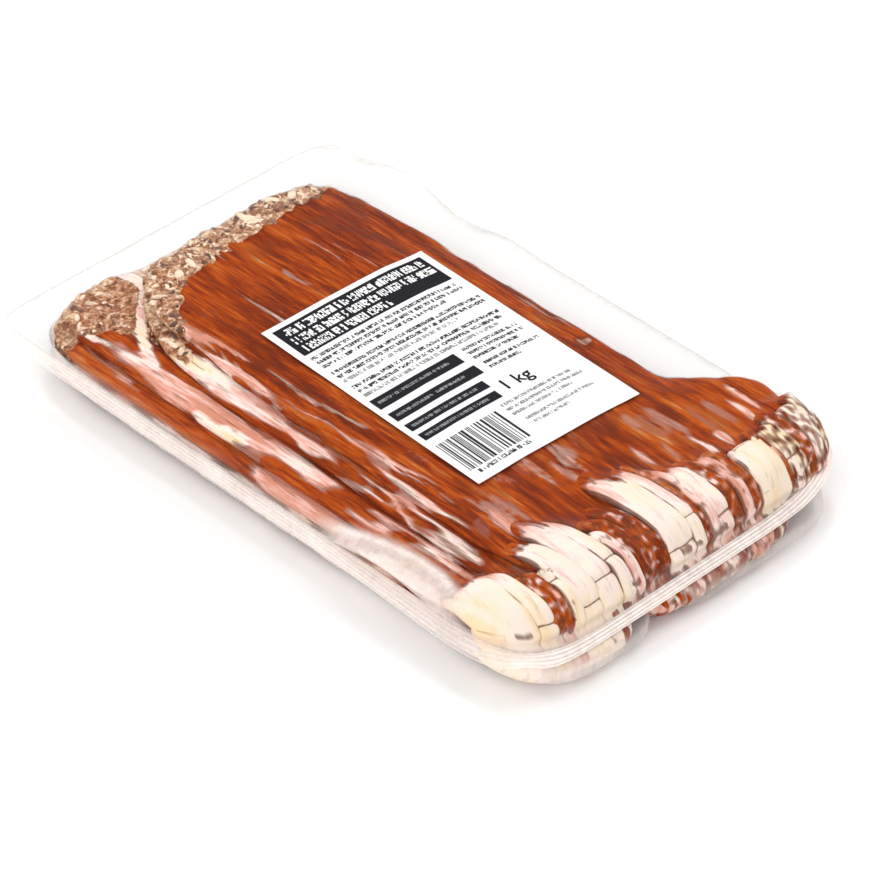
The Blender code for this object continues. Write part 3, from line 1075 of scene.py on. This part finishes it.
def paint_haze(film):
    """Store the haze of a film piece from its place and its slope."""
    steep = 1.0 - np.abs(read_rows(film.data.vertices, "normal", 3)[:, 2])
    haze = []
    for (x, y, z), slope in zip(points_of(film), steep):
        cloud = 0.75 + 0.5 * rough(x / 2.0, y, z, 9.0)
        web = WEB_HAZE * ease(0.0, 4.0, outside_body(x, y))
        milky = max(wall_haze(x, y, z) * ease(0.05, 0.7, slope) * cloud, hump_haze(x, y))
        haze.append(CLEAR_HAZE + web + milky)
    paint(film, "haze", haze)


def paint_weld(seal):
    """Store the haze of the weld: milky at the front, and milkier on its ribs as painted highlight."""
    haze = []
    for (x, y, z), (u, v) in zip(points_of(seal), grid_places(seal)):
        front = max(ease(126.0, 140.0, x), 0.3 * ease(-70.0, -84.0, y))
        # The film is milky at the weld; the stripes of extra milkiness on the rib crests are painted
        # highlight.
        haze.append((0.85 + 0.3 * rib(v)) * (WELD_HAZE + (FRONT_WELD_HAZE - WELD_HAZE) * front))
    paint(seal, "haze", haze)


paint_haze(film_top)
paint_haze(film_pocket)
paint_weld(film_seal)
print("haze from", CLEAR_HAZE, "to", WALL_HAZE)

# %% [markdown]
# ## The label
#
# A paper label is stuck on the upper film. It is stiffer than film, so it bridges
# the small dents and only follows the large ones: the same skin trick as before,
# with more rounds.

# %% Label sheet
LABEL_LENGTH = 120.0
LABEL_WIDTH = 80.0
LABEL_TURN = math.radians(-2.1)
LABEL_STEP = 2.0
LABEL_ROUNDS = 60
LABEL_GAP = 0.12
LABEL_CELLS = (120, 80)
LABEL_THICKNESS = 0.14
label_middle = (label_low + label_high) / 2.0


def label_spot(a, b):
    """Turn a place on the label, along a and across b, into x and y."""
    x = label_middle.x + a * math.cos(LABEL_TURN) - b * math.sin(LABEL_TURN)
    return x, label_middle.y + a * math.sin(LABEL_TURN) + b * math.cos(LABEL_TURN)


def label_heights():
    """Work out the label's height on a grid of its own."""
    trees = trees_of(film_top)
    along_steps = np.arange(-LABEL_LENGTH / 2.0, LABEL_LENGTH / 2.0 + 0.1, LABEL_STEP)
    across_steps = np.arange(-LABEL_WIDTH / 2.0, LABEL_WIDTH / 2.0 + 0.1, LABEL_STEP)
    ground = np.array([[first_below(trees, *label_spot(a, b)) for a in along_steps]
                       for b in across_steps])
    return relax(ground, ground + LABEL_GAP, np.zeros(ground.shape, dtype=bool), LABEL_ROUNDS)


paper_heights = label_heights()


def label_place(a, b, lift):
    """Place a point of the label or its print, lifted off the paper by lift."""
    i = min(max((a + LABEL_LENGTH / 2.0) / LABEL_STEP, 0.0), paper_heights.shape[1] - 1.001)
    j = min(max((b + LABEL_WIDTH / 2.0) / LABEL_STEP, 0.0), paper_heights.shape[0] - 1.001)
    cell = paper_heights[int(j):int(j) + 2, int(i):int(i) + 2]
    low = cell[0, 0] + (cell[0, 1] - cell[0, 0]) * (i % 1.0)
    high = cell[1, 0] + (cell[1, 1] - cell[1, 0]) * (i % 1.0)
    return (*label_spot(a, b), low + (high - low) * (j % 1.0) + lift)


label = add_sheet("paper_label", *LABEL_CELLS, lambda u, v: label_place(
    u * LABEL_LENGTH / 2.0, v * LABEL_WIDTH / 2.0, 0.0))
give_wall(label, LABEL_THICKNESS)
bpy.ops.object.shade_smooth_by_angle(angle=math.radians(40.0))
print("label top at", round(points_of(label)[:, 2].max(), 1), "mm")

# %% [markdown]
# ## The print
#
# The print is plain blocks of ink: a dark header, rows of marks that stand for
# small type, four dark bars, a block of thin upright bars, and the weight. A row is
# one grid whose columns are marks and gaps: the gaps' faces are deleted, and the
# rest gets a hair of thickness. Nothing on it can be read but "1 kg".

# %% Rows of ink
INK_LIFT = LABEL_THICKNESS + 0.02
INK_THICKNESS = 0.05
PRINT_SEED = 5
INK_CELL = 3.0
OVERPRINT = 0.06
BAR_WIDTHS = (0.35, 0.35, 0.7, 1.05)
TYPE_LINES = 3
HEADER_LINES = 5
WEIGHT_SIZE = 8.6
WEIGHT_BOLDNESS = 0.12


def print_grid(a0, a1, edges, kept, ink, lift):
    """Print a grid from a0 to a1 with columns between the edges, and only the kept cells."""
    columns = len(kept)
    rows = len(kept[0])

    def place(u, v):
        return label_place(blend(a0, a1, v), edges[round((u + 1.0) / 2.0 * columns)], INK_LIFT + lift)

    row = add_sheet("row", columns, rows, place)
    bpy.ops.object.mode_set(mode="EDIT")
    bpy.ops.mesh.select_mode(type="FACE")
    bpy.ops.mesh.flip_normals()
    bpy.ops.mesh.select_all(action="DESELECT")
    bpy.ops.object.mode_set(mode="OBJECT")
    for face in row.data.polygons:
        face.select = not kept[face.index % columns][face.index // columns]
    bpy.ops.object.mode_set(mode="EDIT")
    bpy.ops.mesh.delete(type="FACE")
    bpy.ops.object.mode_set(mode="OBJECT")
    give_wall(row, INK_THICKNESS)
    paint(row, "ink", np.full(len(row.data.vertices), ink))
    return row


def solid(a0, a1, b0, b1, ink):
    """Print a solid block."""
    columns = max(1, round((b1 - b0) / INK_CELL))
    rows = max(1, round((a1 - a0) / INK_CELL))
    edges = [b0 + (b1 - b0) * i / columns for i in range(columns + 1)]
    return print_grid(a0, a1, edges, [[True] * rows] * columns, ink, 0.0)


def bars(draw, a0, a1, b0, b1, ink):
    """Print thin upright bars."""
    rows = round((a1 - a0) / INK_CELL)
    edges, kept = [b0], []
    while edges[-1] < b1:
        kept.append([len(kept) % 2 == 0] * rows)
        edges.append(edges[-1] + draw.choice(BAR_WIDTHS))
    return print_grid(a0, a1, edges, kept, ink, 0.0)


def type_row(draw, a, size, b0, b1, ink, lift=0.0, lines=TYPE_LINES):
    """Print a row that stands for small type: broken strokes with gaps between words."""
    edges, kept = [b0], []
    while edges[-1] < b1:
        edges.append(edges[-1] + size / lines * draw.uniform(0.45, 1.0))
        kept.append([draw.random() < 0.74 for _ in range(lines)])
        if draw.random() < 0.45:
            edges.append(edges[-1] + size / lines * (1.6 if draw.random() < 0.2 else 0.45))
            kept.append([False] * lines)
    return print_grid(a, a + size, edges, kept, ink, lift)


def print_weight():
    """Print the weight, with its letters' tops towards the rear."""
    bpy.ops.object.select_all(action="DESELECT")
    bpy.ops.object.text_add()
    text = bpy.context.object
    text.data.body = "1 kg"
    text.data.size = WEIGHT_SIZE * MM
    text.data.offset = WEIGHT_BOLDNESS * MM
    text.data.extrude = 0.5 * INK_THICKNESS * MM
    text.data.resolution_u = 3
    bpy.ops.object.convert(target="MESH")
    text = bpy.context.object
    text.name = "weight"
    a, b = WEIGHT_SPOT
    lift = INK_THICKNESS / 2.0 + INK_LIFT
    points = [label_place(a - y, b + x, z + lift) for x, y, z in points_of(text)]
    place_points(text, np.array(points))
    paint(text, "ink", np.full(len(points), BLACK))
    return text


# %% Layout of the print
BLACK, DARK, GREY, PALE, WHITE = 0.0, 0.06, 0.24, 0.42, 1.0
WEIGHT_SPOT = (27.0, 3.6)
# Each row of type: where it starts along the label, and its two ends across.
HEADER_ROWS = ((-55.6, -34.0, 34.0), (-49.8, -34.5, 35.0), (-44.0, -34.0, 9.0))
SIDE_ROWS = ((-2.4, 8.0, 36.0), (0.8, 8.0, 35.0), (4.0, 8.0, 30.0), (8.6, 9.0, 36.0),
             (11.8, 9.0, 24.0))
LOW_ROWS = ((32.0, -4.0, 30.0), (35.2, -4.0, 33.0), (38.4, -4.0, 26.0), (43.4, -2.0, 31.0),
            (46.6, -2.0, 16.0))
# Each long row: where it starts along the label, its far end across, and its ink.
TYPE_ROWS = ((-36.2, 35.0, GREY), (-33.0, 36.0, GREY), (-29.8, 24.0, GREY),
             (-24.6, 36.5, GREY), (-21.4, 36.0, GREY), (-18.2, 20.0, PALE),
             (-13.2, 36.0, GREY), (-10.0, 34.0, GREY), (-6.8, 30.0, PALE))
# Each dark bar: its two ends along the label, and its far end across.
BAR_ROWS = ((-2.2, 4.4, 4.0), (8.0, 13.8, 5.0), (16.9, 21.7, 1.0), (24.3, 28.9, 0.5))
# Each block: its two ends along the label, and its two ends across.
HEADER_BLOCK = (-57.3, -38.6, -37.0, 36.8)
UPRIGHT_BARS = (33.5, 52.6, -37.0, -8.0)
HEADER_TYPE, LONG_TYPE, SIDE_TYPE, LOW_TYPE, BAR_TYPE, DIGITS = 4.2, 1.8, 1.6, 1.5, 1.4, 2.0
LEFT_MARGIN = -36.5


def make_print():
    """Print the whole label and join it into one piece."""
    draw = random.Random(PRINT_SEED)
    rows = [solid(*HEADER_BLOCK, BLACK)]
    rows += [type_row(draw, a, HEADER_TYPE, b0, b1, WHITE, OVERPRINT, HEADER_LINES)
             for a, b0, b1 in HEADER_ROWS]
    rows += [type_row(draw, a, LONG_TYPE, LEFT_MARGIN, b1, ink) for a, b1, ink in TYPE_ROWS]
    for a0, a1, b1 in BAR_ROWS:
        rows.append(solid(a0, a1, LEFT_MARGIN - 1.0, b1, BLACK))
        rows.append(type_row(draw, a0 + 0.36 * (a1 - a0), BAR_TYPE, LEFT_MARGIN + 1.0,
                             draw.uniform(-12.0, 0.0), PALE, OVERPRINT))
    rows += [type_row(draw, a, SIDE_TYPE, b0, b1, GREY) for a, b0, b1 in SIDE_ROWS]
    rows += [type_row(draw, a, LOW_TYPE, b0, b1, PALE) for a, b0, b1 in LOW_ROWS]
    rows.append(bars(draw, *UPRIGHT_BARS, DARK))
    rows.append(type_row(draw, UPRIGHT_BARS[1] + 1.2, DIGITS, -35.0, -10.0, GREY))
    rows.append(print_weight())
    return join("label_print", rows)


label_print = make_print()
print("print:", len(label_print.data.polygons), "faces")

# %% [markdown]
# ## Materials
#
# Each material works from the object's own coordinates and from the values stored
# on the points. The meat's streaks come from noise that is stretched along the
# slice, mixed between dark red-brown, orange-brown and tan. Fat, rind, smoke and
# painted shade are mixed over it, with their borders made ragged by finer noise.

# %% Material helpers
def value_of(tree, name):
    """Read a stored point value in a material."""
    reader = node(tree, "Attribute")
    reader.attribute_name = name
    return reader.outputs["Fac"]


def grain_of(tree, stretch, detail=4.0, roughness=0.55):
    """Make noise in the object's own coordinates, with stretch waves a metre on each axis."""
    place = node(tree, "TexCoord").outputs["Object"]
    mapping = node(tree, "Mapping", Scale=stretch)
    tree.links.new(place, mapping.inputs["Vector"])
    grain = node(tree, "TexNoise", Scale=1.0, Detail=detail, Roughness=roughness)
    tree.links.new(mapping.outputs["Vector"], grain.inputs["Vector"])
    return grain.outputs["Fac"]


def calc(tree, operation, first, second):
    """Combine two values, the second of which may be a number."""
    made = node(tree, "Math")
    made.operation = operation
    tree.links.new(first, made.inputs[0])
    if isinstance(second, float):
        made.inputs[1].default_value = second
    else:
        tree.links.new(second, made.inputs[1])
    return made.outputs[0]


def weigh(tree, first, first_weight, second, second_weight):
    """Add up two values, each with its weight."""
    total = calc(tree, "MULTIPLY_ADD", first, first_weight)
    tree.links.new(calc(tree, "MULTIPLY", second, second_weight), total.node.inputs[2])
    return total


def vary(tree, value, grain, amount):
    """Vary a value by grain, by up to half of amount each way."""
    total = calc(tree, "MULTIPLY_ADD", grain, amount)
    tree.links.new(calc(tree, "ADD", value, -amount / 2.0), total.node.inputs[2])
    return total


def remap(tree, value, low, high, new_low=0.0, new_high=1.0):
    """Map a value from one range to another, and stop at its ends."""
    made = node(tree, "MapRange", From_Min=low, From_Max=high, To_Min=new_low, To_Max=new_high)
    tree.links.new(value, made.inputs["Value"])
    return made.outputs["Result"]


def ramp_of(tree, value, stops):
    """Turn a value into colour through stops of place, red, green and blue."""
    made = node(tree, "ValToRGB")
    elements = made.color_ramp.elements
    while len(elements) < len(stops):
        elements.new(0.5)
    for element, (place, *colour) in zip(elements, stops):
        element.position = place
        element.color = (*colour, 1.0)
    tree.links.new(value, made.inputs["Fac"])
    return made.outputs["Color"]


def mix_of(tree, share, first, second):
    """Mix two colours."""
    made = node(tree, "Mix")
    made.data_type = "RGBA"
    tree.links.new(share, made.inputs["Factor"])
    tree.links.new(first, made.inputs[6])
    tree.links.new(second, made.inputs[7])
    return made.outputs[2]


def ragged(tree, value, grain, amount=0.5, low=0.42, high=0.58):
    """Sharpen a stored value and make its border ragged."""
    return remap(tree, vary(tree, value, grain, amount), low, high)


def add_bump(tree, shader, height, strength, distance):
    """Add fine relief to a shader."""
    made = node(tree, "Bump", Strength=strength, Distance=distance * MM)
    tree.links.new(height, made.inputs["Height"])
    tree.links.new(made.outputs["Normal"], shader.inputs["Normal"])


# %% Meat and crumbs
# Each stop of a colour ramp: its place, red, green and blue.
LEAN = ((0.34, 0.14, 0.018, 0.003), (0.44, 0.25, 0.032, 0.003), (0.50, 0.35, 0.050, 0.003),
        (0.56, 0.45, 0.075, 0.005), (0.65, 0.50, 0.13, 0.018), (0.77, 0.52, 0.26, 0.13))
FAT = ((0.0, 0.87, 0.66, 0.42), (0.25, 0.90, 0.76, 0.61), (0.5, 0.91, 0.76, 0.69),
       (0.75, 0.83, 0.48, 0.41), (1.0, 0.64, 0.27, 0.18))
RIND = ((0.36, 0.10, 0.035, 0.020), (0.46, 0.31, 0.12, 0.055), (0.55, 0.54, 0.29, 0.16),
        (0.66, 0.86, 0.70, 0.52))
# The dark colour of smoked spots, also used for painted shade.
SMOKE_AND_SHADE = ((0.3, 0.08, 0.022, 0.010), (0.7, 0.22, 0.060, 0.020))
MEAT_SHINE = 0.025


def make_meat(name, stretch, broad_stretch, streakiness, crack_shade):
    """Make the bacon's material, with fibres stretched along the slice."""
    material, tree, shader = start_material(name, 0.4)
    shader.inputs["Specular IOR Level"].default_value = MEAT_SHINE
    streaks = grain_of(tree, stretch, 6.0, 0.62)
    broad = grain_of(tree, broad_stretch, 4.0)
    fine = grain_of(tree, (420.0, 900.0, 700.0), 3.0)
    flecks = grain_of(tree, [2.2 * waves for waves in stretch], 3.0)
    cracks = grain_of(tree, [1.5 * waves for waves in stretch], 3.0)
    mixed = weigh(tree, weigh(tree, broad, 0.62, streaks, 0.55), 1.0, flecks, 0.45)
    redness = weigh(tree, mixed, 1.0, value_of(tree, "tint"), 0.2)
    lean = ramp_of(tree, calc(tree, "ADD", redness, -0.452), LEAN)
    tint = weigh(tree, weigh(tree, broad, 1.8, streaks, 1.9), 1.0, flecks, 0.7)
    tint = calc(tree, "MULTIPLY", calc(tree, "ADD", tint, -2.2), streakiness)
    fat = ramp_of(tree, calc(tree, "ADD", tint, value_of(tree, "tint")), FAT)
    wrinkles = grain_of(tree, (360.0, 230.0, 300.0), 5.0, 0.72)
    rind = ramp_of(tree, weigh(tree, wrinkles, 1.0, value_of(tree, "tint"), 0.10), RIND)
    smoke_and_shade = ramp_of(tree, fine, SMOKE_AND_SHADE)
    fatty = ragged(tree, value_of(tree, "fat"), streaks, 0.9, 0.38, 0.62)
    colour = mix_of(tree, fatty, lean, fat)
    colour = mix_of(tree, ragged(tree, value_of(tree, "rind"), fine), colour, rind)
    rim = calc(tree, "SUBTRACT", fatty, calc(tree, "MULTIPLY", fatty, fatty))
    shade = ragged(tree, value_of(tree, "dark"), streaks, 0.7, 0.35, 0.75)
    shade = calc(tree, "MULTIPLY", shade, 0.80)
    shade = calc(tree, "MAXIMUM", shade, calc(tree, "MULTIPLY", rim, 1.9))
    shade = calc(tree, "MAXIMUM", shade, remap(tree, cracks, 0.40, 0.33, 0.0, crack_shade))
    # One dark colour for smoked spots and for the painted shade of the steps, band rims and folds.
    colour = mix_of(tree, shade, colour, smoke_and_shade)
    tree.links.new(colour, shader.inputs["Base Color"])
    tree.links.new(remap(tree, streaks, 0.3, 0.7, 0.30, 0.55), shader.inputs["Roughness"])
    add_bump(tree, shader, weigh(tree, streaks, 1.0, fine, 0.5), 0.7, 0.7)
    return material


def make_crumb_material():
    """Make the crumbs' material, whose colour differs from crumb to crumb."""
    material, tree, shader = start_material("rind_crumbs", 0.5)
    fine = grain_of(tree, (700.0, 700.0, 700.0), 3.0)
    shade = vary(tree, value_of(tree, "crumb"), fine, 0.3)
    tree.links.new(ramp_of(tree, shade, RIND), shader.inputs["Base Color"])
    add_bump(tree, shader, fine, 0.5, 0.3)
    return material


flat_meat = make_meat("bacon_slices", (40.0, 420.0, 420.0), (16.0, 95.0, 95.0), 1.0, 0.55)
end_meat = make_meat("bacon_ends", (70.0, 420.0, 70.0), (30.0, 110.0, 30.0), 0.55, 0.18)
for piece in (top_slice, middle_slices, lower_slices):
    piece.data.materials.append(flat_meat)
slice_ends.data.materials.append(end_meat)
crumbs.data.materials.append(make_crumb_material())
print("meat colours:", len(LEAN) + len(FAT) + len(RIND) + len(SMOKE_AND_SHADE))

# %% [markdown]
# ## Film, paper and ink
#
# The film is mostly see-through: a transparent shader mixed with a glossy one that
# grows towards grazing angles, as on any clear plastic. Where the stored haze says
# so, a milky white is mixed in. Paper and ink are dull, with a little grain.

# %% Film, paper and ink materials
GLOSS_HEAD_ON = 0.001
GLOSS_GRAZING = 0.50
FILM_ROUGHNESS = 0.07
PAPER = ((0.3, 0.80, 0.80, 0.81), (0.7, 0.85, 0.85, 0.855))
INK = ((0.0, 0.011, 0.011, 0.016), (0.25, 0.05, 0.05, 0.055), (0.5, 0.36, 0.36, 0.37),
       (0.75, 0.60, 0.60, 0.61), (1.0, 0.90, 0.90, 0.90))
INK_SHINE = 0.08
MILKY_WHITE = (1.0, 0.90, 0.84, 1.0)
FILM_TINT = (0.995, 0.995, 0.995, 1.0)
GRAZING_POWER = 6.0


def make_film_material():
    """Make the clear film."""
    material, tree, shader = start_material("clear_film", 0.35)
    shader.inputs["Base Color"].default_value = MILKY_WHITE
    ripples = grain_of(tree, (90.0, 90.0, 90.0), 3.0)
    gloss = node(tree, "BsdfGlossy", Color=(1.0, 1.0, 1.0, 1.0), Roughness=FILM_ROUGHNESS)
    clear = node(tree, "BsdfTransparent", Color=FILM_TINT)
    for lit in (gloss, shader):
        add_bump(tree, lit, ripples, 0.35, 0.6)
    graze = node(tree, "LayerWeight", Blend=0.5).outputs["Facing"]
    share = calc(tree, "MULTIPLY_ADD", calc(tree, "POWER", graze, GRAZING_POWER), GLOSS_GRAZING)
    share.node.inputs[2].default_value = GLOSS_HEAD_ON
    skin = node(tree, "MixShader")
    milky = node(tree, "MixShader")
    tree.links.new(share, skin.inputs[0])
    tree.links.new(clear.outputs[0], skin.inputs[1])
    tree.links.new(gloss.outputs[0], skin.inputs[2])
    cloud = remap(tree, grain_of(tree, (260.0, 260.0, 90.0), 4.0, 0.65), 0.3, 0.7, 0.75, 1.25)
    tree.links.new(calc(tree, "MULTIPLY", value_of(tree, "haze"), cloud), milky.inputs[0])
    tree.links.new(skin.outputs[0], milky.inputs[1])
    tree.links.new(shader.outputs[0], milky.inputs[2])
    tree.links.new(milky.outputs[0], tree.nodes["Material Output"].inputs["Surface"])
    return material


def make_paper_material():
    """Make the label's paper."""
    material, tree, shader = start_material("label_paper", 0.5)
    grain = grain_of(tree, (500.0, 300.0, 500.0), 4.0)
    tree.links.new(ramp_of(tree, grain, PAPER), shader.inputs["Base Color"])
    add_bump(tree, shader, grain, 0.2, 0.1)
    return material


def make_ink_material():
    """Make the ink, which takes its shade from the stored value."""
    material, tree, shader = start_material("label_ink", 0.6)
    shader.inputs["Specular IOR Level"].default_value = INK_SHINE
    grain = grain_of(tree, (1500.0, 1500.0, 1500.0), 3.0)
    shade = vary(tree, value_of(tree, "ink"), grain, 0.08)
    tree.links.new(ramp_of(tree, shade, INK), shader.inputs["Base Color"])
    return material


clear_film = make_film_material()
for piece in (film_top, film_pocket, film_seal):
    piece.data.materials.append(clear_film)
label.data.materials.append(make_paper_material())
label_print.data.materials.append(make_ink_material())
print("film gloss", GLOSS_HEAD_ON, "to", GLOSS_GRAZING)

# %% [markdown]
# ## In place of the CAD
#
# The looks now take the place of the CAD solids: each piece rides on the pack's one
# body, and the CAD solid that it stands in for is hidden.

# %% Take the place of the CAD
SLOTS = {"bacon": (top_slice, middle_slices, lower_slices, slice_ends, crumbs),
         "film": (film_top, film_pocket, film_seal), "label": (label, label_print)}
for slot, pieces in SLOTS.items():
    for piece in pieces:
        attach(piece, "root")
        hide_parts("label" if slot == "label" else "pack")
        print(piece.name, len(piece.data.polygons), "faces")
